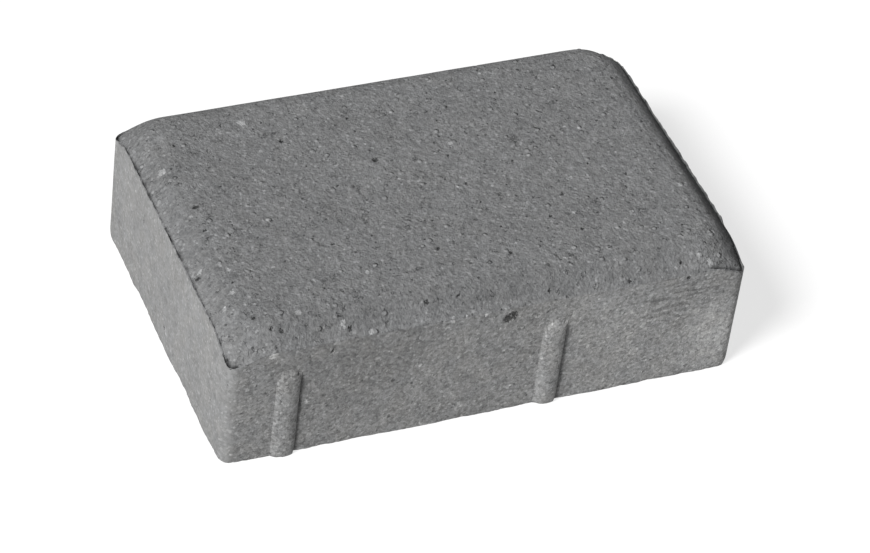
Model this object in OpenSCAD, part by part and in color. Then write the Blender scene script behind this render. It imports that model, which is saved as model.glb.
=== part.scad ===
// Concrete paving stone, lying on its bed.
// A pressed block with plain upright walls. The press shoe has left a flat tread whose edges roll over
// into a slope that runs out to the rim, and a thin lip of flash on the rim at each end.
// Half-round spacer ribs on the long faces keep the joint open when stones are laid side by side.
// Frame: origin at the middle of the bed, X along the stone, Y across it, Z up. Millimetres.

/* [Stone] */
// Length between the end faces
stone_length = 207; // [180:1:300]
// Width between the long faces, without the ribs
stone_width = 136; // [90:1:200]
// Height from the bed to the tread
stone_height = 60; // [50:1:100]
// Radius of the upright corners
corner_radius = 5; // [2:0.5:10]

/* [Rolled edge] */
// Distance from each wall in to the edge of the flat tread
tread_inset = 14; // [12:0.5:18]
// Radius of the corners of the flat tread, in plan
tread_corner = 6; // [2:0.5:15]
// Radius of the roll from the tread into the slope, in section
roll_radius = 13; // [6:0.5:15]
// Angle of the slope below the roll, in degrees
slope_angle = 40; // [25:1:50]

/* [Flash lip] */
// Thickness of the lip on the rim
lip_thickness = 0.8; // [0.4:0.1:1.5]
// Height of the lip above the slope
lip_height = 0.8; // [0.3:0.1:2]
// Distance that the lip runs on along the long faces from each end
lip_return = 20; // [8:1:40]

/* [Spacer ribs] */
// Width of a rib where it meets the face
rib_width = 10; // [6:0.5:16]
// Distance that a rib stands out from the face
rib_depth = 2; // [1:0.25:3]
// Distance from the rim down to the rounded top of a rib
rib_drop = 10; // [4:0.5:15]
// Distance from the end of the stone to the middle of the first rib
rib_first = 24.5; // [15:0.5:40]
// Distance between the two ribs of a face
rib_pitch = 105; // [60:1:110]

/* [Hidden] */
$fn = 96;
concrete_colour = [0.47, 0.47, 0.46];

// Section of the rolled edge, measured out from the edge of the flat tread
roll_reach = roll_radius * sin(slope_angle);
roll_foot_z = stone_height - roll_radius * (1 - cos(slope_angle));
rim_z = roll_foot_z - (tread_inset - roll_reach) * tan(slope_angle);

// The slope runs on past the upright corners, where the walls then cut it off
slope_reach = sqrt(2) * (tread_inset + tread_corner);
slope_foot_z = roll_foot_z - (slope_reach - roll_reach) * tan(slope_angle);

// Size of the flat tread, and the places of the centres of its round corners
tread_length = stone_length - 2 * tread_inset;
tread_width = stone_width - 2 * tread_inset;
corner_x = tread_length / 2 - tread_corner;
corner_y = tread_width / 2 - tread_corner;

// A rib is a segment of an upright round bar set into the face
rib_radius = (pow(rib_width / 2, 2) + pow(rib_depth, 2)) / (2 * rib_depth);
rib_centre_y = stone_width / 2 + rib_depth - rib_radius;
rib_shoulder_z = rim_z - rib_drop - rib_width / 2;

// Plan of the stone, brought in all round by an inset
module plan(inset = 0) {
    length = stone_length - 2 * inset;
    width = stone_width - 2 * inset;
    radius = corner_radius - inset;
    square([length - 2 * radius, width], center = true);
    square([length, width - 2 * radius], center = true);
    for (x = [-1, 1], y = [-1, 1])
        translate([x * (length / 2 - radius), y * (width / 2 - radius)])
            circle(radius);
}

// Half section through the rolled edge, with a flat stretch of the tread before it
module edge_section(flat) {
    square([flat, stone_height]);
    translate([flat, 0]) {
        polygon([
            [0, 0],
            [slope_reach, 0],
            [slope_reach, slope_foot_z],
            [roll_reach, roll_foot_z],
            [0, roll_foot_z]
        ]);
        intersection() {
            translate([0, stone_height - roll_radius]) circle(roll_radius);
            translate([0, roll_foot_z]) square([roll_reach, stone_height - roll_foot_z]);
        }
    }
}

// Straight bar with rolled edges on both sides, lying along Y
module rolled_bar(flat_width, length) {
    rotate([90, 0, 0])
        linear_extrude(height = length, center = true)
            for (side = [0, 1])
                mirror([side, 0]) edge_section(flat_width / 2);
}

// Everything that lies under the tread, the roll and the slope, without the walls
module pressed_top() {
    rolled_bar(tread_length, 2 * corner_y);
    rotate([0, 0, 90]) rolled_bar(tread_width, 2 * corner_x);
    for (x = [0, 1], y = [0, 1])
        mirror([x, 0, 0]) mirror([0, y, 0])
            translate([corner_x, corner_y, 0])
                rotate_extrude(angle = 90) edge_section(tread_corner);
}

// Block between the walls, under the pressed top
module block() {
    intersection() {
        linear_extrude(height = stone_height) plan();
        pressed_top();
    }
}

// Thin lip on the rim, along each end and a little way round its corners
module flash_lip() {
    intersection() {
        linear_extrude(height = stone_height) difference() {
            plan();
            plan(lip_thickness);
            square([stone_length - 2 * lip_return, 2 * stone_width], center = true);
        }
        translate([0, 0, lip_height]) pressed_top();
    }
}

// Spacer rib on the back face, with its foot on the bed and a rounded top
module spacer_rib(x) {
    translate([x, rib_centre_y, 0])
        rotate_extrude() {
            square([rib_radius, rib_shoulder_z]);
            translate([0, rib_shoulder_z]) intersection() {
                circle(rib_radius);
                square(rib_radius);
            }
        }
}

// The ribs stand off-centre and the two faces are alike, so the ribs of neighbouring stones miss each other
module spacer_ribs() {
    for (turn = [0, 180])
        rotate([0, 0, turn])
            for (step = [0, 1])
                spacer_rib(stone_length / 2 - rib_first - step * rib_pitch);
}

module paving_stone() {
    color(concrete_colour) union() {
        block();
        flash_lip();
        spacer_ribs();
    }
}

paving_stone();
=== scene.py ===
"""Concrete paving stone on a plain white floor, seen from its front left corner.

A box grid with close lines at its edges is shaped by one Geometry Nodes tree into the pressed stone: tread,
rolled edge, slope, lip of flash, spacer ribs, worn foot, relief and pores. The tree works in millimetres.
"""
import math

import bpy
import numpy as np
from mathutils import Matrix, Vector


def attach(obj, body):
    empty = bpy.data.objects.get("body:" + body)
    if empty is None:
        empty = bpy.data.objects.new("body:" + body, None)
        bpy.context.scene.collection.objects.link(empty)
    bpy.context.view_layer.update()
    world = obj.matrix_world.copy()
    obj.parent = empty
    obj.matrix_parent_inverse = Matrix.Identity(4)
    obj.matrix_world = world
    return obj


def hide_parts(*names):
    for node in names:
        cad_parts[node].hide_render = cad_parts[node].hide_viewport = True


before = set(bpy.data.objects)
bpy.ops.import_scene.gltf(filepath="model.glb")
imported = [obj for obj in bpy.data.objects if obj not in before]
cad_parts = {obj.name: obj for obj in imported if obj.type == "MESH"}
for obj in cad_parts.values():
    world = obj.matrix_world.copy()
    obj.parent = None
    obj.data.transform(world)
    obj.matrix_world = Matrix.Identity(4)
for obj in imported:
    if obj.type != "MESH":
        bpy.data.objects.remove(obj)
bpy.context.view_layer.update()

MM = 0.001

# Sizes of the stone in millimetres, the same as in the part's source
LENGTH, WIDTH, HEIGHT = 207.0, 136.0, 60.0
CORNER_RADIUS = 5.0
TREAD_INSET, TREAD_CORNER = 14.0, 6.0
ROLL_RADIUS, SLOPE = 13.0, math.radians(40)
LIP_HEIGHT, LIP_RETURN = 0.8, 20.0
RIB_WIDTH, RIB_DEPTH, RIB_DROP = 10.0, 2.0, 10.0
RIB_FIRST, RIB_PITCH = 24.5, 105.0

ROLL_REACH = ROLL_RADIUS * math.sin(SLOPE)
ROLL_DROP = ROLL_RADIUS * (1 - math.cos(SLOPE))
RIM_Z = HEIGHT - ROLL_DROP - (TREAD_INSET - ROLL_REACH) * math.tan(SLOPE)

# Grid lines of the box: distances from an edge where they lie close, then the even step between
EDGE_LINES = (0, 0.3, 0.6, 0.9, 1.25, 1.75, 2.4, 3.1)
FOOT_LINES = (0, 0.35, 0.8, 1.4, 2.2)
CELLS_X, CELLS_Y, CELLS_Z = 284, 188, 38
# The bed has every fourth line, and its first lines keep clear of the chips along its edges
BED_STEP, BED_MARGIN = 4, 2.4

# Pores and light grains that show in the photo: place on the stone and radius, in millimetres
TREAD_PORES = (
    (-90.2, -55.2, 0.8), (-81.9, -62.4, 0.8), (-85.4, -61.2, 0.7), (-91.2, 7.0, 1.0), (-16.7, 15.4, 1.0),
    (12.0, -5.8, 0.7), (-25.7, -61.9, 0.8), (-101.2, -24.8, 0.9), (-56.2, -65.1, 0.65), (-47.5, 34.7, 0.85),
)
FRONT_PORES = ((5.4, 47.2, 1.75), (7.6, 48.4, 1.85), (78.1, 50.5, 0.8))
TREAD_GRAINS = (
    (87.6, -65.4, 1.3), (-99.9, -23.1, 1.0), (14.7, 17.6, 0.9), (-48.7, -67.0, 1.0), (-58.8, 48.5, 1.5),
    (-73.7, -57.1, 1.3), (-42.0, -43.2, 1.0), (-93.5, -40.6, 1.0), (45.5, -31.6, 0.9), (-96.5, 30.5, 1.4),
    (-90.7, -29.1, 0.9), (-74.4, -31.9, 0.9), (-98.1, -45.7, 1.0), (-94.4, 3.0, 1.0), (90.9, -27.2, 0.9),
    (52.3, -12.6, 0.9), (-32.1, 16.3, 0.9), (-6.5, -34.3, 0.9), (-58.4, -63.4, 1.0),
)
FRONT_GRAINS = (
    (-16.9, 51.3, 1.0), (-3.8, 51.2, 1.0), (-86.1, 51.0, 1.7), (-72.0, 24.4, 1.0), (-40.5, 41.6, 0.9),
    (-27.7, 32.0, 0.9),
)

# Broad lighter and darker patches on the front wall: place, radius and strength
FRONT_PATCHES = (
    (-56, 38, 34, -0.16), (-80, 44, 16, -0.10), (-28, 49, 16, -0.10), (58, 26, 56, 0.19), (30, 46, 24, 0.06),
    (99, 19, 28, 0.5),
)
# Place and radius of the stretch of the front wall that the mould has smeared
SMEAR = (76, 43, 17)

# Points as near as this to a side of the box belong to that side
NEAR_SIDE = 0.01

# Roll, by distance out from the flat tread: where its wear begins and is full, and where its form is fullest
ROLL_BEGINS, ROLL_FULL = 1.0, 4.0
FULLEST_FROM, FULLEST_TO = 7.0, 7.5

# Lip and crease, by distance in from the wall: pairs give where each begins and is full. The crease and the
# wedges at the corners also get painted shade
LIP_INSIDE = (0.9, 0.45)
CREASE_OUTER, CREASE_INNER = (0.4, 0.7), (1.35, 0.95)
WEDGE_OUTER, WEDGE_INNER = (0.45, 0.8), (1.9, 1.2)
WEDGE_FROM_CORNER = (8.0, 3.5)
CREASE_WANDER, CREASE_WANDER_SIZE = 0.5, 3.0
# The right lip is wider, and the left one runs on along the long faces for only a share of the full distance
RIGHT_LIP_EXTRA = 0.45
LEFT_RETURN_SHARE, RETURN_FADE = 0.3, 0.6
# Stretch of the right lip that has broken off: its middle, and the distances from there over which it ends
BROKEN_LIP_Y, BROKEN_LIP_ENDS = -53.0, (12.0, 8.0)
BROKEN_LIP_INSIDE = (2.4, 0.3)
# Sizes of the tears in the lip and of the stretches where the left crease is open
TEAR_SIZE, OPEN_SIZE = 4.0, 6.0
# Painted shade on the right slope: its reach at the back and at the front, and its strength
SLOPE_SHADE_Y, SLOPE_SHADE_REACH, SLOPE_SHADE_INNER, SLOPE_SHADE_STRENGTH = (40.0, -40.0), (3.0, 9.5), 1.2, 0.85
SLOPE_SHADE_FROM_CORNER = (-1.0, 2.5)

# Ribs: half width of the crown as a share of the rib's width, how much steeper its left and right sides are
# than a round bar's, and the groove beside it, by distance out from the crown
CROWN_SHARE, STEEP_FROM, STEEP = 0.45, (-2.0, 2.0), (0.25, 0.85)
GROOVE_OUTER, GROOVE_INNER = (1.2, 0.2), (-0.6, 0.1)
# Depth of the groove, its painted shade, and heights from the shoulder over which it fades out
GROOVE_DEPTH, GROOVE_SHADE, GROOVE_TOP = 0.3, 0.7, (3.0, -2.0)

# Scattered pores: most points on a square metre, the walls' share of that, the least radius and what is added
PORE_DENSITY, WALL_PORES = 6000.0, 0.25
PORE_RADIUS, PORE_RADIUS_MORE = 0.32, 0.45
PORE_PLACE_SEED, PORE_SIZE_SEED = 11, 5

# Wear: sizes of its noises, depth of the fine relief, height of the foot's chips, and the most it takes off
WAVE_SIZE, ROLL_WAVE_SIZE, RELIEF_SIZE, CHIP_SIZE, SPLINTER_SIZE = 28.0, 6.0, 2.2, 13.0, 2.5
ROLL_WAVE_SHARE, SPLINTER_SHARE = 0.9, 0.3
RELIEF_DEPTH, CHIP_HEIGHT, WEAR_LIMIT = 0.05, 3.5, 1.2
# Nearness to a pore at which its dent begins and is full
DENT = (0.3, 0.8)
# Heights over which the wear turns level and the bed ends, and the rim of the bed that still moves
LEVEL_FOOT, BED_SKIN, BED_RIM = (0.1, 1.0), 0.05, 0.1

# Edges that turn by more than this stay sharp
HARD_EDGE = math.radians(48)


class Field:
    """A value in a node tree that is added and multiplied like a number."""

    def __init__(self, tree, socket):
        self.tree, self.socket = tree, socket

    def __add__(self, other):
        return calc("ADD", self, other)

    def __sub__(self, other):
        return calc("SUBTRACT", self, other)

    def __rsub__(self, other):
        return calc("SUBTRACT", other, self)

    def __mul__(self, other):
        return calc("MULTIPLY", self, other)

    def __truediv__(self, other):
        return calc("DIVIDE", self, other)

    def __abs__(self):
        return calc("ABSOLUTE", self)

    __radd__, __rmul__ = __add__, __mul__


def tree_of(*values):
    return next(v.tree for v in values if isinstance(v, Field))


def feed(socket, value):
    """Links a field to a socket, or sets the socket to a plain value."""
    if isinstance(value, Field):
        value.tree.links.new(value.socket, socket)
    else:
        socket.default_value = value


def add(tree, kind, inputs=(), **settings):
    """Adds a node with its settings, and feeds its inputs by name or number."""
    made = tree.nodes.new(kind)
    for name, value in settings.items():
        setattr(made, name, value)
    for key, value in dict(inputs).items():
        feed(made.inputs[key], value)
    return made


def calc(operation, *values):
    made = add(tree_of(*values), "ShaderNodeMath", enumerate(values), operation=operation)
    return Field(made.id_data, made.outputs[0])


def least(*values):
    return calc("MINIMUM", *values)


def most(*values):
    return calc("MAXIMUM", *values)


def root(value):
    return calc("SQRT", most(value, 0.0))


def hypot(a, b):
    return root(a * a + b * b)


def ramp(value, start, end, low=0.0, high=1.0):
    """Goes smoothly from low at start to high at end."""
    inputs = {"Value": value, "From Min": start, "From Max": end, "To Min": low, "To Max": high}
    made = add(value.tree, "ShaderNodeMapRange", inputs, interpolation_type="SMOOTHSTEP")
    return Field(value.tree, made.outputs["Result"])


def blend_numbers(share, first, second):
    """The first number where the share is 0, and the second where it is 1."""
    return first + (second - first) * share


def vector(x, y, z):
    made = add(tree_of(x, y, z), "ShaderNodeCombineXYZ", enumerate((x, y, z)))
    return Field(made.id_data, made.outputs[0])


def split(field):
    made = add(field.tree, "ShaderNodeSeparateXYZ", {0: field})
    return [Field(field.tree, socket) for socket in made.outputs]


def scaled(field, factor):
    made = add(field.tree, "ShaderNodeVectorMath", {0: field, "Scale": factor}, operation="SCALE")
    return Field(field.tree, made.outputs[0])


def noise(place, size, detail=0.0, seed=0.0, rough=0.5):
    """Even noise from -1 to 1, with patches of about the given size."""
    inputs = {"Vector": place, "W": seed, "Scale": 1 / size, "Detail": detail, "Roughness": rough}
    made = add(place.tree, "ShaderNodeTexNoise", inputs, noise_dimensions="4D")
    return (Field(place.tree, made.outputs[0]) - 0.5) * 2.0


def grains(place, size):
    """Distance from the middle of the nearest grain, in grain sizes, and that grain's random numbers."""
    made = add(place.tree, "ShaderNodeTexVoronoi", {"Vector": place, "Scale": 1 / size})
    lot = add(place.tree, "ShaderNodeSeparateColor", {0: Field(place.tree, made.outputs["Color"])})
    return Field(place.tree, made.outputs["Distance"]), [Field(place.tree, s) for s in lot.outputs]


def grid_lines(length, near, cells):
    """Places of the grid lines over a length, close together at both ends."""
    edge = np.array(near, float)
    inner = np.linspace(edge[-1], length - edge[-1], cells - 2 * (len(near) - 1) + 1)
    return np.concatenate([edge[:-1], inner, length - edge[-2::-1]]) - length / 2


def wall_lines():
    """Heights of the rows of a wall from the top down, close together at the rim and the foot."""
    top, foot = np.array(EDGE_LINES, float), np.array(FOOT_LINES, float)
    inner = np.linspace(HEIGHT - top[-1], foot[-1], CELLS_Z - len(top) - len(foot) + 3)
    return np.concatenate([HEIGHT - top[:-1], inner, foot[-2::-1]])


def perimeter(nx, ny):
    """Grid places round the edge of a face, anticlockwise from the front left corner."""
    front = [(i, 0) for i in range(nx)]
    right = [(nx - 1, j) for j in range(1, ny)]
    back = [(i, ny - 1) for i in range(nx - 2, -1, -1)]
    left = [(0, j) for j in range(ny - 2, 0, -1)]
    return front + right + back + left


def bed_faces(nx, ny, ring, inner):
    """Faces of the bed: coarse cells that still meet every line of the walls."""
    def corner(i, j):
        return ring[i, j] if (i, j) in ring else inner[i, j]

    faces = []
    for j in range(0, ny - 1, BED_STEP):
        for i in range(0, nx - 1, BED_STEP):
            far_i, far_j = i + BED_STEP, j + BED_STEP
            walk = [(k, j) for k in range(i, far_i)] + [(far_i, k) for k in range(j, far_j)]
            walk += [(k, far_j) for k in range(far_i, i, -1)] + [(i, k) for k in range(far_j, j, -1)]
            ends = {(i, j), (far_i, j), (far_i, far_j), (i, far_j)}
            faces.append([corner(*p) for p in reversed(walk) if p in ends or p in ring])
    return faces


def box_grid():
    """Closed box with a fine grid on its top and walls. Gives the points and the faces of each side."""
    xs, ys = grid_lines(LENGTH, EDGE_LINES, CELLS_X), grid_lines(WIDTH, EDGE_LINES, CELLS_Y)
    zs = wall_lines()
    nx, ny = len(xs), len(ys)
    round_it = perimeter(nx, ny)
    points = [(x, y, HEIGHT) for y in ys for x in xs]
    rows = [[j * nx + i for i, j in round_it]]
    for z in zs[1:]:
        rows.append(list(range(len(points), len(points) + len(round_it))))
        points += [(xs[i], ys[j], z) for i, j in round_it]
    inner = {}
    bed_x, bed_y = LENGTH / 2 - BED_MARGIN, WIDTH / 2 - BED_MARGIN
    for j in range(BED_STEP, ny - 1, BED_STEP):
        for i in range(BED_STEP, nx - 1, BED_STEP):
            inner[i, j] = len(points)
            points.append((np.clip(xs[i], -bed_x, bed_x), np.clip(ys[j], -bed_y, bed_y), 0.0))

    sides = {"tread": [], "front": [], "right": [], "back": [], "left": []}
    for j in range(ny - 1):
        for i in range(nx - 1):
            k = j * nx + i
            sides["tread"].append([k, k + 1, k + nx + 1, k + nx])
    turns = np.cumsum([nx - 1, ny - 1, nx - 1, ny - 1])
    for upper, lower in zip(rows, rows[1:]):
        for p in range(len(round_it)):
            q = (p + 1) % len(round_it)
            side = ("front", "right", "back", "left")[int(np.searchsorted(turns, p, "right"))]
            sides[side].append([lower[p], lower[q], upper[q], upper[p]])
    sides["bed"] = bed_faces(nx, ny, dict(zip(round_it, rows[-1])), inner)
    return np.array(points), sides


# Where each side of the box lies on the flat bake sheet: its two axes, and its corner in millimetres
SHEET = {
    "tread": (0, 1, 4, 4), "bed": (0, 1, 4, 146), "front": (0, 2, 4, 288),
    "left": (1, 2, 220, 4), "right": (1, 2, 220, 70), "back": (2, 0, 220, 136),
}
SHEET_SIZE = 364.0


def lay_out(mesh, points, sides):
    """Lays the sides of the box side by side on the bake sheet, all at one scale."""
    corner = np.array([-LENGTH / 2, -WIDTH / 2, 0])
    layer = mesh.uv_layers.new(name="OFBake")
    places = []
    for name, faces in sides.items():
        across, up, left, low = SHEET[name]
        order = points[np.concatenate([np.array(f) for f in faces])] - corner
        places.append(np.stack([order[:, across] + left, order[:, up] + low], 1) / SHEET_SIZE)
    layer.data.foreach_set("uv", np.concatenate(places).astype(np.float32).ravel())


def marks(points, tread_marks, front_marks):
    """How near each point is to a mark: 1 in its middle, a half at its edge, 0 well outside it."""
    near = np.zeros(len(points))
    on_tread = points[:, 2] > HEIGHT - NEAR_SIDE
    on_front = (points[:, 1] < -WIDTH / 2 + NEAR_SIDE) & ~on_tread
    for x, y, radius in tread_marks:
        gap = np.hypot(points[:, 0] - x, points[:, 1] - y)
        near = np.maximum(near, np.where(on_tread, 1 - gap / (2 * radius), 0))
    for x, z, radius in front_marks:
        gap = np.hypot(points[:, 0] - x, points[:, 2] * RIM_Z / HEIGHT - z)
        near = np.maximum(near, np.where(on_front, 1 - gap / (2 * radius), 0))
    return near


def front_patches(points):
    """Lightness of the broad patches on the front wall at each point, above or below 0."""
    on_front = points[:, 1] < -WIDTH / 2 + NEAR_SIDE
    total = np.zeros(len(points))
    for x, z, radius, strength in FRONT_PATCHES:
        gap = np.hypot(points[:, 0] - x, points[:, 2] * RIM_Z / HEIGHT - z)
        near = np.clip(1 - gap / radius, 0, 1)
        total += np.where(on_front, strength * near * near * (3 - 2 * near), 0)
    return total


def keep_numbers(mesh, name, values):
    mesh.attributes.new(name, "FLOAT", "POINT").data.foreach_set("value", values.astype(np.float32))


def box_mesh():
    points, sides = box_grid()
    mesh = bpy.data.meshes.new("paving_stone_box")
    mesh.from_pydata(points * MM, [], [face for faces in sides.values() for face in faces])
    lay_out(mesh, points, sides)
    keep_numbers(mesh, "pore", marks(points, TREAD_PORES, FRONT_PORES))
    keep_numbers(mesh, "grain", marks(points, TREAD_GRAINS, FRONT_GRAINS))
    keep_numbers(mesh, "smear", marks(points, (), (SMEAR,)))
    keep_numbers(mesh, "front_patch", front_patches(points))
    return mesh


# Inputs of the tree: the sizes above, then how far the looks depart from the plain solid, in millimetres
STONE_INPUTS = {
    "Length": LENGTH, "Width": WIDTH, "Height": HEIGHT, "Corner radius": CORNER_RADIUS,
    "Tread inset": TREAD_INSET, "Tread corner": TREAD_CORNER, "Roll radius": ROLL_RADIUS,
    "Roll reach": ROLL_REACH, "Roll drop": ROLL_DROP, "Slope rise": math.tan(SLOPE), "Rim height": RIM_Z,
    "Lip height": LIP_HEIGHT, "Lip return": LIP_RETURN, "Rib width": RIB_WIDTH, "Rib depth": RIB_DEPTH,
    "Rib drop": RIB_DROP, "Rib first": RIB_FIRST, "Rib pitch": RIB_PITCH,
    "Roll fullness": 0.55, "Crease depth": 0.7, "Waviness": 0.35, "Chips": 0.8,
    "Pore spacing": 13.0, "Pore depth": 0.5, "Seed": 1.0,
}


class StoneTree:
    """The Geometry Nodes tree that shapes the box into the stone."""

    def __init__(self):
        self.tree = bpy.data.node_groups.new("pressed paving stone", "GeometryNodeTree")
        face = self.tree.interface
        face.new_socket("Geometry", in_out="INPUT", socket_type="NodeSocketGeometry")
        face.new_socket("Concrete", in_out="INPUT", socket_type="NodeSocketMaterial")
        for name, value in STONE_INPUTS.items():
            face.new_socket(name, in_out="INPUT", socket_type="NodeSocketFloat").default_value = value
        face.new_socket("Geometry", in_out="OUTPUT", socket_type="NodeSocketGeometry")
        self.given = self.tree.nodes.new("NodeGroupInput")
        self.shape = self.read("Geometry")

    def read(self, name):
        return Field(self.tree, self.given.outputs[name])

    def input(self, kind):
        return Field(self.tree, add(self.tree, kind).outputs[0])

    def named(self, name):
        made = add(self.tree, "GeometryNodeInputNamedAttribute", {"Name": name}, data_type="FLOAT")
        return Field(self.tree, made.outputs["Attribute"])

    def keep(self, name, value):
        """Stores a number on every point, so that later steps and the material can read it."""
        inputs = {"Geometry": self.shape, "Name": name, "Value": value}
        made = add(self.tree, "GeometryNodeStoreNamedAttribute", inputs, data_type="FLOAT", domain="POINT")
        self.shape = Field(self.tree, made.outputs[0])

    def place(self):
        return split(scaled(self.input("GeometryNodeInputPosition"), 1 / MM))

    def move_to(self, x, y, z):
        inputs = {"Geometry": self.shape, "Position": scaled(vector(x, y, z), MM)}
        self.shape = Field(self.tree, add(self.tree, "GeometryNodeSetPosition", inputs).outputs[0])

    def push_in(self, depth):
        """Moves every point but those of the bed into the stone, by a depth in millimetres.

        The way is square to the surface, and level at the foot, where the bed stays flat.
        """
        across, along, up = split(self.input("GeometryNodeInputNormal"))
        z = self.place()[2]
        levelled = vector(across, along, up * ramp(z, *LEVEL_FOOT))
        unit = add(self.tree, "ShaderNodeVectorMath", {0: levelled}, operation="NORMALIZE")
        way = Field(self.tree, unit.outputs[0])
        off_bed = most(ramp(z, 0.0, BED_SKIN), ramp(self.named("inset"), BED_RIM, 0.0))
        inputs = {"Geometry": self.shape, "Offset": scaled(way, depth * off_bed * -MM)}
        self.shape = Field(self.tree, add(self.tree, "GeometryNodeSetPosition", inputs).outputs[0])

    def label_sides(self):
        """Marks which points belong to the pressed top, and which to the walls."""
        x, y, z = self.place()
        from_end, from_side = self.read("Length") / 2 - abs(x), self.read("Width") / 2 - abs(y)
        self.keep("tread", ramp(self.read("Height") - z, 2 * NEAR_SIDE, NEAR_SIDE))
        self.keep("long wall", ramp(from_side, 2 * NEAR_SIDE, NEAR_SIDE))
        self.keep("end wall", ramp(from_end, 2 * NEAR_SIDE, NEAR_SIDE))
        self.keep("inset", least(from_end, from_side))

    def round_corners(self):
        """Rounds the upright corners by drawing the corner squares of the grid into quarter circles."""
        x, y, z = self.place()
        radius = self.read("Corner radius")
        straight_x, straight_y = self.read("Length") / 2 - radius, self.read("Width") / 2 - radius
        u = most(abs(x) - straight_x, 0.0) / radius
        v = most(abs(y) - straight_y, 0.0) / radius
        round_x = least(abs(x), straight_x) + radius * u * root(1.0 - v * v / 2)
        round_y = least(abs(y), straight_y) + radius * v * root(1.0 - u * u / 2)
        self.move_to(calc("SIGN", x) * round_x, calc("SIGN", y) * round_y, z)

    def press_top(self):
        """Rolls the edges of the tread over into the slope, and brings the walls down to the rim."""
        x, y, z = self.place()
        corner, inset = self.read("Tread corner"), self.read("Tread inset")
        past_x = most(abs(x) - (self.read("Length") / 2 - inset - corner), 0.0)
        past_y = most(abs(y) - (self.read("Width") / 2 - inset - corner), 0.0)
        out = most(hypot(past_x, past_y) - corner, 0.0)
        on_roll = least(out, self.read("Roll reach"))
        radius = self.read("Roll radius")
        drop = radius - root(radius * radius - on_roll * on_roll)
        drop = drop + (out - on_roll) * self.read("Slope rise")
        self.keep("roll", ramp(out, ROLL_BEGINS, ROLL_FULL) * ramp(out, inset, inset - ROLL_FULL))
        full = ramp(out, 0.0, FULLEST_FROM) * ramp(out, inset, FULLEST_TO) * self.read("Roll fullness")
        top = self.read("Height") - drop + full + self.flash(x, y)
        self.move_to(x, y, z * top / self.read("Height"))

    def flash(self, x, y):
        """Height of the broken lip on the rim at the ends, less the crease inside it."""
        inset, along, seed = self.named("inset"), vector(x, y, 0.0), self.read("Seed")
        from_end, from_side = self.read("Length") / 2 - abs(x), self.read("Width") / 2 - abs(y)
        right = ramp(x, -1.0, 1.0)
        runs_on = blend_numbers(right, LEFT_RETURN_SHARE, 1.0) * self.read("Lip return")
        by_end = ramp(from_end, runs_on, runs_on * RETURN_FADE)

        broken = ramp(abs(y - BROKEN_LIP_Y), *BROKEN_LIP_ENDS) * ramp(x, 0.0, 1.0)
        torn = ramp(noise(along, TEAR_SIZE, 3.0, seed + 2.0), -0.3, 0.3, 0.1, 1.0) * (1.0 - broken)
        inside = inset - right * RIGHT_LIP_EXTRA
        lip = ramp(inside, *LIP_INSIDE) * torn * by_end * self.read("Lip height")

        line = inside + noise(along, CREASE_WANDER_SIZE, 2.0, seed + 7.0) * CREASE_WANDER
        open_here = most(ramp(noise(along, OPEN_SIZE, 3.0, seed + 4.0), -0.12, 0.2), right)
        crease = ramp(line, *CREASE_OUTER) * ramp(line, *CREASE_INNER) * open_here
        at_corner = ramp(hypot(from_end, from_side), *WEDGE_FROM_CORNER)
        wedge = ramp(line, *WEDGE_OUTER) * ramp(line, *WEDGE_INNER) * at_corner
        crease = most(crease, wedge) * by_end

        # Painted shade on the right slope, from the crease inwards, reaching further in towards the front
        reach = ramp(y, *SLOPE_SHADE_Y, *SLOPE_SHADE_REACH)
        on_slope = ramp(from_side - from_end, *SLOPE_SHADE_FROM_CORNER) * right
        slope_shade = ramp(line, *CREASE_OUTER) * ramp(line, reach, SLOPE_SHADE_INNER) * on_slope * SLOPE_SHADE_STRENGTH
        # What is kept as crease is darkened by the material as painted shade
        self.keep("crease", most(crease, slope_shade * by_end))
        return lip - crease * self.read("Crease depth") - broken * ramp(inset, *BROKEN_LIP_INSIDE)

    def raise_ribs(self):
        """Raises two half-round ribs with rounded tops on each long wall, turned half round on the back."""
        x, y, z = self.place()
        side, on_wall = calc("SIGN", y), self.named("long wall")
        width, depth = self.read("Rib width"), self.read("Rib depth")
        radius = (width * width / 4 + depth * depth) / (depth * 2)
        shoulder = self.read("Rim height") - self.read("Rib drop") - width / 2
        from_first = x * side - (self.read("Length") / 2 - self.read("Rib first"))
        from_second = from_first + self.read("Rib pitch")
        past_second = ramp(from_second, width, width + 1.0)
        to_right = blend_numbers(past_second, from_second, from_first) * side
        across = least(abs(from_first), abs(from_second))
        off_axis = hypot(across, most(z - shoulder, 0.0))

        crown = width * CROWN_SHARE
        round_bar = root(radius * radius - off_axis * off_axis) - (radius - depth)
        steep_bar = root(1.0 - off_axis * off_axis / (crown * crown)) * depth
        bar = blend_numbers(ramp(to_right, *STEEP_FROM, *STEEP), round_bar, steep_bar)

        beside = off_axis - crown
        # A shallow groove on the shaded side of each front rib, which also gets painted shade
        groove = ramp(beside, *GROOVE_INNER) * ramp(beside, *GROOVE_OUTER) * ramp(to_right, 0.0, 1.0)
        groove = groove * ramp(z - shoulder, *GROOVE_TOP) * ramp(y, 1.0, -1.0) * on_wall
        self.keep("crease", most(self.named("crease"), groove * GROOVE_SHADE))
        self.move_to(x, y + side * (most(bar, 0.0) * on_wall - groove * GROOVE_DEPTH), z)

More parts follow.
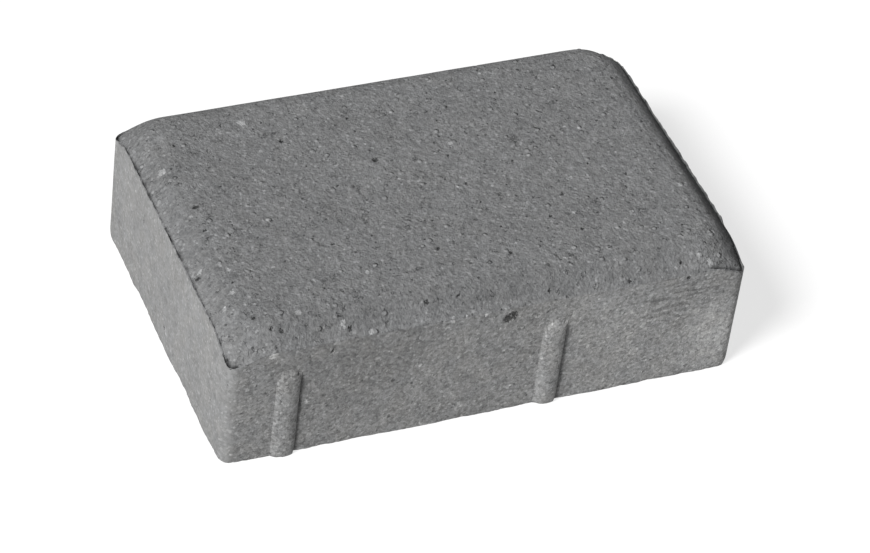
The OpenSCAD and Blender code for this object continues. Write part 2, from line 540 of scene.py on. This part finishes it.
    def scatter_pores(self):
        """Adds pores at random places to those marked on the box, fewer on the walls than on the tread."""
        spacing = self.read("Pore spacing") * MM
        share = blend_numbers(self.named("tread"), WALL_PORES, 1.0)
        inputs = {"Mesh": self.shape, "Distance Min": spacing, "Density Max": PORE_DENSITY,
                  "Density Factor": share, "Seed": PORE_PLACE_SEED}
        made = add(self.tree, "GeometryNodeDistributePointsOnFaces", inputs, distribute_method="POISSON")
        points = Field(self.tree, made.outputs["Points"])
        nearest = add(self.tree, "GeometryNodeSampleNearest", {"Geometry": points})
        index = Field(self.tree, nearest.outputs[0])
        here = self.input("GeometryNodeInputPosition")
        inputs = {"Geometry": points, "Index": index, "Value": here}
        spot = add(self.tree, "GeometryNodeSampleIndex", inputs, data_type="FLOAT_VECTOR")
        inputs = {0: here, 1: Field(self.tree, spot.outputs[0])}
        gap = add(self.tree, "ShaderNodeVectorMath", inputs, operation="DISTANCE")
        inputs = {"ID": index, "Seed": PORE_SIZE_SEED}
        chance = add(self.tree, "FunctionNodeRandomValue", inputs, data_type="FLOAT")
        lot = Field(self.tree, chance.outputs[1])
        radius = lot * lot * PORE_RADIUS_MORE + PORE_RADIUS
        near = 1.0 - Field(self.tree, gap.outputs["Value"]) / MM / (radius * 2)
        self.keep("pore", most(self.named("pore"), most(near, 0.0)))

    def wear(self):
        """Presses waves, relief, pores and the chips of the foot into the surface, never out of it."""
        x, y, z = self.place()
        place, along = vector(x, y, z), vector(x, y, 0.0)
        seed = self.read("Seed")
        broad = (noise(place, WAVE_SIZE, 1.0, seed) + 1.0) / 2
        short = (noise(place, ROLL_WAVE_SIZE, 2.0, seed + 3.0) + 1.0) * ROLL_WAVE_SHARE * self.named("roll")
        waves = (broad + short) * self.read("Waviness")
        relief = (noise(place, RELIEF_SIZE, 2.0, seed + 1.0) + 1.0) / 2 * RELIEF_DEPTH
        dents = ramp(self.named("pore"), *DENT) * self.read("Pore depth")
        chips = ramp(noise(along, CHIP_SIZE, 3.0, seed + 6.0), -0.25, 0.5)
        chips = chips + ramp(noise(along, SPLINTER_SIZE, 2.0, seed + 5.0), -0.2, 0.5) * SPLINTER_SHARE
        low = most(1.0 - z / CHIP_HEIGHT, 0.0)
        chips = chips * low * low * self.read("Chips")
        self.push_in(least(waves + relief + dents + chips, WEAR_LIMIT))

    def finish(self):
        """Shades the stone smooth except at its hard edges, and gives it its material."""
        angle = Field(self.tree, add(self.tree, "GeometryNodeInputMeshEdgeAngle").outputs["Unsigned Angle"])
        smooth = calc("LESS_THAN", angle, HARD_EDGE)
        inputs = {"Geometry": self.shape, "Shade Smooth": smooth}
        shaded = add(self.tree, "GeometryNodeSetShadeSmooth", inputs, domain="EDGE")
        whole = add(self.tree, "GeometryNodeRealizeInstances", {0: Field(self.tree, shaded.outputs[0])})
        inputs = {"Geometry": Field(self.tree, whole.outputs[0]), "Material": self.read("Concrete")}
        made = add(self.tree, "GeometryNodeSetMaterial", inputs)
        out = self.tree.nodes.new("NodeGroupOutput")
        feed(out.inputs["Geometry"], Field(self.tree, made.outputs[0]))
        return self.tree


def stone_tree():
    steps = StoneTree()
    steps.label_sides()
    steps.round_corners()
    steps.press_top()
    steps.raise_ribs()
    steps.scatter_pores()
    steps.wear()
    return steps.finish()


def make_stone(concrete):
    """Shapes the box with the tree, and keeps the result as a plain mesh."""
    box = bpy.data.objects.new("paving_stone_look", box_mesh())
    bpy.context.scene.collection.objects.link(box)
    tree = stone_tree()
    shaping = box.modifiers.new("shape", "NODES")
    shaping.node_group = tree
    for item in tree.interface.items_tree:
        if item.name == "Concrete":
            shaping[item.identifier] = concrete
        elif item.name in STONE_INPUTS:
            shaping[item.identifier] = STONE_INPUTS[item.name]
    bpy.context.view_layer.update()
    ready = box.evaluated_get(bpy.context.evaluated_depsgraph_get())
    mesh = bpy.data.meshes.new_from_object(ready)
    mesh.name = "paving_stone_look"
    box.modifiers.remove(shaping)
    first = box.data
    box.data = mesh
    bpy.data.meshes.remove(first)
    return box


def attribute(tree, name):
    made = add(tree, "ShaderNodeAttribute", attribute_name=name)
    return Field(tree, made.outputs["Fac"])


def tint(field, colour):
    """A grey field times a colour."""
    made = add(field.tree, "ShaderNodeVectorMath", {0: Vector(colour), "Scale": field}, operation="SCALE")
    return Field(field.tree, made.outputs[0])


def blend_colours(share, first, second):
    made = add(share.tree, "ShaderNodeMix", data_type="RGBA")
    feed(made.inputs["Factor"], share)
    feed(made.inputs[6], first)
    feed(made.inputs[7], second)
    return Field(share.tree, made.outputs[2])


# Sizes in the concrete, in millimetres: of its noises, then the spacing of what is strewn in it
SAND_SIZE, DUST_SIZE, PATCH_SIZE, MOTTLE_SIZE, HUE_SIZE = 1.8, 0.55, 14.0, 3.4, 7.0
CRACK_SIZE, CRACK_PATCH_SIZE, SEAM_PATCH_SIZE = 2.0, 3.2, 2.6
CELL_SPACING, PIT_SPACING, GRIT_SPACING, FLECK_SPACING = 0.95, 3.0, 4.2, 3.2
# Length and thickness of the smears from the mould, and the length over which they rise by a thickness
SMEAR_LENGTH, SMEAR_THICKNESS, SMEAR_RISE = 14.0, 1.3, 40.0

# Shares by which things darken or lighten the concrete. The darkening of pits, pores, seams and creases is
# painted shade
PIT_SHADE, PORE_SHADE, SEAM_SHADE, CREASE_SHADE, SMEAR_DARK = 0.55, 0.74, 0.68, 0.8, 0.4
GRAIN_LIGHT, GRIT_LIGHT, CELL_LIGHT, WALL_LIGHT = 0.62, 0.38, 0.3, 0.3
PLACED_GRAIN_GAIN = 1.3
PATCH_SHARE, MOTTLE_SHARE, TREAD_MOTTLE, END_MOTTLE = 0.13, 0.1, 0.12, 0.16
# Speckle of the walls from sand, dust and cells, and how much less of it the tread has
WALL_SPECKLE, TREAD_LOSS = (0.54, 0.44, 0.5), (0.34, 0.19, 0.15)

# Depths and heights of the relief that the bump shows, in millimetres
WALL_SAND_DEPTH, TREAD_SAND_DEPTH, DUST_DEPTH, CELL_DEPTH = 0.08, 0.46, 0.05, 0.05
PIT_DEPTH, PORE_DEPTH, SMEAR_DEPTH, SEAM_DEPTH = 0.2, 0.4, 0.1, 0.2
GRAIN_HEIGHT, GRIT_HEIGHT = 0.04, 0.55

# Rubbed stretches with less speckle: the ends near the rim and the front, and the left corners
RUBBED_Z, RUBBED_Y, RUBBED_WANDER = (34.0, 44.0), (-46.0, -60.0), 6.0
CORNER_X, CORNER_WANDER = (-94.0, -101.0), 3.0
END_CALM, RUBBED_CALM, CORNER_CALM = 0.32, 0.3, 0.6
# The ends are lighter higher up
END_LIGHT_Z, END_LIGHT = (8.0, 40.0), (-0.01, 0.07)
# The roll gets painted shade along the front and left, and a little painted light towards the right end
ROLL_FRONT_Y, ROLL_LEFT_X = (50.0, 30.0), (-80.0, -90.0)
ROLL_RIGHT_X, ROLL_SHADE_AND_LIGHT = (60.0, 90.0), (0.11, -0.06)

# Greys of the cement, a cool and a warm one for the walls and for the tread
WALL_COOL, WALL_WARM = (0.1789, 0.1804, 0.1809), (0.1814, 0.1806, 0.1779)
TREAD_COOL, TREAD_WARM = (0.1917, 0.1941, 0.1965), (0.1922, 0.1933, 0.1941)
ROUGHNESS, SHEEN_LEVEL = 0.92, 0.08


class Concrete:
    """The texture of bare grey concrete, worked out in millimetres on the stone."""

    def __init__(self, tree):
        self.tree = tree
        self.place = scaled(Field(tree, add(tree, "ShaderNodeTexCoord").outputs["Object"]), 1 / MM)
        self.tread = attribute(tree, "tread")
        self.on_end = attribute(tree, "end wall") * (1.0 - self.tread)
        self.sand = noise(self.place, SAND_SIZE, 3.0, 1.0, 0.66)
        self.dust = noise(self.place, DUST_SIZE, 1.0, 9.0)
        self.ragged = (self.sand + self.dust) / 2
        self.patch = noise(self.place, PATCH_SIZE, 2.0, 2.0)
        self.cells = grains(self.place, CELL_SPACING)[1]
        self.pit = self.pits()
        self.grit, self.seam = self.grit_and_seams()
        self.pore = ramp(attribute(tree, "pore") + self.ragged * 1.2, 0.46, 0.58)
        self.grain = self.light_grains()
        self.smear = self.smears()
        self.calm = self.calm_share()

    def strewn(self, spacing, lot, share, sizes, ragged, edge, scale=1.0):
        """Spots of mixed sizes with ragged edges, 1 inside and 0 outside, in cells of the given spacing.

        A cell whose random number is under the share has the least size, which is below 0, so hardly a spot.
        """
        gap, lots = grains(self.place, spacing)
        size = ramp(lots[lot], share, 1.0, *sizes) * scale
        return ramp(gap + self.ragged * ragged, size + edge, size - edge)

    def pits(self):
        """Small pits, and short open cracks between the sand grains, which the colour darkens as painted
        shade.
        """
        pit = self.strewn(PIT_SPACING, 0, 0.45, (-0.1, 0.16), 0.3, 0.04, self.tread * 0.5 + 0.5)
        crack = ramp(abs(noise(self.place, CRACK_SIZE, 1.0, 12.0)), 0.07, 0.02)
        crack = crack * ramp(noise(self.place, CRACK_PATCH_SIZE, 1.0, 13.0), 0.17, 0.3)
        return most(pit, crack * (self.tread * 0.6 + 0.3))

    def grit_and_seams(self):
        """Coarse grains that stand out a little, and the seams along parts of their edges, which get painted
        shade.
        """
        grit = self.strewn(GRIT_SPACING, 0, 0.35, (-0.12, 0.25), 0.16, 0.09) * (self.tread * 0.65 + 0.35)
        at_edge = grit * (1.0 - grit) * 4.0
        return grit, at_edge * ramp(noise(self.place, SEAM_PATCH_SIZE, 1.0, 21.0), 0.0, 0.35)

    def light_grains(self):
        """Light grains at random, and brighter ones at the places marked on the box."""
        fleck = self.strewn(FLECK_SPACING, 1, 0.3, (-0.1, 0.19), 0.15, 0.04) * (self.tread * 0.3 + 0.6)
        placed = ramp(attribute(self.tree, "grain") + self.ragged * 0.6, 0.43, 0.6)
        return most(fleck, placed * PLACED_GRAIN_GAIN)

    def smears(self):
        """Long thin streaks on the smeared stretch of the front wall."""
        x, y, z = split(self.place)
        stretched = vector(x / SMEAR_LENGTH, y, z / SMEAR_THICKNESS - x / SMEAR_RISE)
        streak = ramp(noise(stretched, 1.0, 1.0, 6.0), 0.0, 0.5)
        return streak * ramp(attribute(self.tree, "smear"), 0.35, 0.7)

    def calm_share(self):
        """Share of the speckle that is left on the ends and where the stone is rubbed."""
        x, y, z = split(self.place)
        wander = self.patch * RUBBED_WANDER
        rubbed = most(ramp(z + wander, *RUBBED_Z), ramp(y + wander, *RUBBED_Y))
        at_corner = ramp(x + self.patch * CORNER_WANDER, *CORNER_X) * (1.0 - self.tread)
        return least(1.0 - self.on_end * (rubbed * RUBBED_CALM + END_CALM), 1.0 - at_corner * CORNER_CALM)

    def speckle(self):
        parts = (self.sand, self.dust, self.cells[0] - 0.5)
        sand, dust, cell = [part * (wall - self.tread * loss)
                            for part, wall, loss in zip(parts, WALL_SPECKLE, TREAD_LOSS)]
        return (sand + dust + cell) * self.calm

    def shade(self):
        """Lightness of the concrete, about 1 on a plain stretch of the tread."""
        x, y, z = split(self.place)
        mottle = noise(self.place, MOTTLE_SIZE, 1.0, 15.0)
        mottle = mottle * (self.tread * TREAD_MOTTLE + self.on_end * END_MOTTLE + MOTTLE_SHARE)
        shade = 1.0 + self.speckle() + self.patch * PATCH_SHARE + mottle
        shade = shade + self.on_end * ramp(z, *END_LIGHT_Z, *END_LIGHT)
        # Painted shade in the pits, cracks and pores
        shade = shade * (1.0 - self.pit * PIT_SHADE) * (1.0 - self.pore * PORE_SHADE)
        # Painted shade in the seams beside the coarse grains
        shade = shade * (1.0 - self.seam * SEAM_SHADE) * (1.0 - self.smear * SMEAR_DARK)
        shade = shade * (1.0 + self.grain * GRAIN_LIGHT) * (1.0 + self.grit * GRIT_LIGHT)
        shade = shade * (1.0 + ramp(self.cells[2], 0.8, 1.0) * CELL_LIGHT)
        shade = shade * (1.0 + (1.0 - self.tread) * WALL_LIGHT)
        # Painted shade on the roll along the front and left, and painted light on it towards the right end
        roll = attribute(self.tree, "roll") * most(ramp(y, *ROLL_FRONT_Y), ramp(x, *ROLL_LEFT_X))
        shade = shade * (1.0 - roll * ramp(x, *ROLL_RIGHT_X, *ROLL_SHADE_AND_LIGHT))
        # Painted shade in the creases and corner wedges behind the lip, in the grooves beside the ribs and on
        # the right slope
        shade = shade * (1.0 - attribute(self.tree, "crease") * CREASE_SHADE)
        return shade * (1.0 + attribute(self.tree, "front_patch"))

    def colour(self):
        shade = self.shade()
        cool = blend_colours(self.tread, tint(shade, WALL_COOL), tint(shade, TREAD_COOL))
        warm = blend_colours(self.tread, tint(shade, WALL_WARM), tint(shade, TREAD_WARM))
        return blend_colours(ramp(noise(self.place, HUE_SIZE, 1.0, 4.0), -0.5, 0.5), cool, warm)

    def relief(self):
        """Height of the surface in millimetres, for the bump."""
        sand = self.sand * (self.tread * TREAD_SAND_DEPTH + WALL_SAND_DEPTH)
        fine = (sand + self.dust * DUST_DEPTH + (self.cells[1] - 0.5) * CELL_DEPTH) * self.calm
        raised = self.grain * GRAIN_HEIGHT + self.grit * GRIT_HEIGHT
        sunk = self.pit * PIT_DEPTH + self.pore * PORE_DEPTH
        lines = self.smear * SMEAR_DEPTH + self.seam * SEAM_DEPTH
        return fine + raised - sunk - lines


def concrete_material():
    """Bare grey concrete: sand grains in cement, small pits, light grains and faint lighter and darker
    patches, with painted shade in its hollows and painted shade and light on its rolled edge.
    """
    material = bpy.data.materials.new("concrete")
    material.use_nodes = True
    tree = material.node_tree
    tree.nodes.clear()
    concrete = Concrete(tree)
    bump = add(tree, "ShaderNodeBump", {"Height": concrete.relief(), "Distance": MM, "Strength": 1.0})
    skin = add(tree, "ShaderNodeBsdfPrincipled", {
        "Base Color": concrete.colour(), "Roughness": ROUGHNESS, "Specular IOR Level": SHEEN_LEVEL,
        "Normal": Field(tree, bump.outputs[0])})
    out = add(tree, "ShaderNodeOutputMaterial")
    tree.links.new(skin.outputs[0], out.inputs["Surface"])
    return material


# The camera of the photo: the point it aims at, its distance, its angles and its lens
AIM = Vector((-3.71, -21.80, 30.0)) * MM
DISTANCE = 1431.7 * MM
ELEVATION, YAW, ROLL = math.radians(41.508), math.radians(26.591), math.radians(7.877)
LENS, SENSOR_WIDTH = 157.17, 36.0


def place_camera():
    ahead = Vector((math.sin(YAW), math.cos(YAW), 0))
    forward = ahead * math.cos(ELEVATION) - Vector((0, 0, 1)) * math.sin(ELEVATION)
    level = Vector((math.cos(YAW), -math.sin(YAW), 0))
    right = level * math.cos(ROLL) + level.cross(forward) * math.sin(ROLL)
    up = right.cross(forward)
    data = bpy.data.cameras.new("camera")
    data.lens, data.sensor_width = LENS, SENSOR_WIDTH
    camera = bpy.data.objects.new("camera", data)
    turn = Matrix((right, up, -forward)).transposed().to_4x4()
    camera.matrix_world = Matrix.Translation(AIM - forward * DISTANCE) @ turn
    bpy.context.scene.collection.objects.link(camera)
    bpy.context.scene.camera = camera


# Studio light: one soft lamp from the left and front, and a dim even surround
LAMP_TOWARDS = Vector((-0.9, -0.42, 1.0)).normalized()
LAMP_DISTANCE, LAMP_SIZE, LAMP_POWER = 12.0, 3.9, 1930.0
SURROUND = 0.08


def place_lamp():
    data = bpy.data.lights.new("lamp", "AREA")
    data.shape, data.size, data.energy = "DISK", LAMP_SIZE, LAMP_POWER
    lamp = bpy.data.objects.new("lamp", data)
    lamp.location = LAMP_TOWARDS * LAMP_DISTANCE
    lamp.rotation_euler = LAMP_TOWARDS.to_track_quat("Z", "Y").to_euler()
    bpy.context.scene.collection.objects.link(lamp)


def set_world():
    """White where it is seen directly or mirrored, and a dim surround for the light."""
    world = bpy.data.worlds.new("studio")
    world.use_nodes = True
    tree = world.node_tree
    tree.nodes.clear()
    path = add(tree, "ShaderNodeLightPath")
    seen = [Field(tree, path.outputs[n]) for n in ("Is Camera Ray", "Is Glossy Ray", "Is Transmission Ray")]
    strength = most(seen[0], most(seen[1], seen[2])) * (1.0 - SURROUND) + SURROUND
    white = add(tree, "ShaderNodeBackground", {"Color": (1, 1, 1, 1), "Strength": strength})
    out = add(tree, "ShaderNodeOutputWorld")
    tree.links.new(white.outputs[0], out.inputs["Surface"])
    bpy.context.scene.world = world


# Floor, in metres: half its width, and how far it lies below the bed
FLOOR_HALF, FLOOR_DROP = 4.0, 0.2 * MM
# Grey of the floor for the light it throws back, and its grey and glow as the camera sees it
FLOOR_GREY, FLOOR_SEEN_GREY, FLOOR_SEEN_GLOW = 0.8, 0.32, 0.73


def floor_material():
    """Pale floor that looks white in the light and keeps a soft shadow."""
    material = bpy.data.materials.new("floor")
    material.use_nodes = True
    tree = material.node_tree
    tree.nodes.clear()
    seen = Field(tree, add(tree, "ShaderNodeLightPath").outputs["Is Camera Ray"])
    grey = blend_numbers(seen, FLOOR_GREY, FLOOR_SEEN_GREY)
    matt = add(tree, "ShaderNodeBsdfDiffuse", {"Color": tint(grey, (1, 1, 1))})
    glow = add(tree, "ShaderNodeEmission", {"Color": (1, 1, 1, 1), "Strength": seen * FLOOR_SEEN_GLOW})
    both = add(tree, "ShaderNodeAddShader")
    tree.links.new(matt.outputs[0], both.inputs[0])
    tree.links.new(glow.outputs[0], both.inputs[1])
    out = add(tree, "ShaderNodeOutputMaterial")
    tree.links.new(both.outputs[0], out.inputs["Surface"])
    return material


def make_floor():
    mesh = bpy.data.meshes.new("floor")
    corners = [(x * FLOOR_HALF, y * FLOOR_HALF, 0) for x, y in ((-1, -1), (1, -1), (1, 1), (-1, 1))]
    mesh.from_pydata(corners, [], [(0, 1, 2, 3)])
    mesh.materials.append(floor_material())
    floor = bpy.data.objects.new("floor", mesh)
    floor.location.z = -FLOOR_DROP
    bpy.context.scene.collection.objects.link(floor)


stone = make_stone(concrete_material())
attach(stone, "root")
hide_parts("paving_stone")

make_floor()
place_lamp()
set_world()
place_camera()
bpy.context.scene.view_settings.view_transform = "Standard"
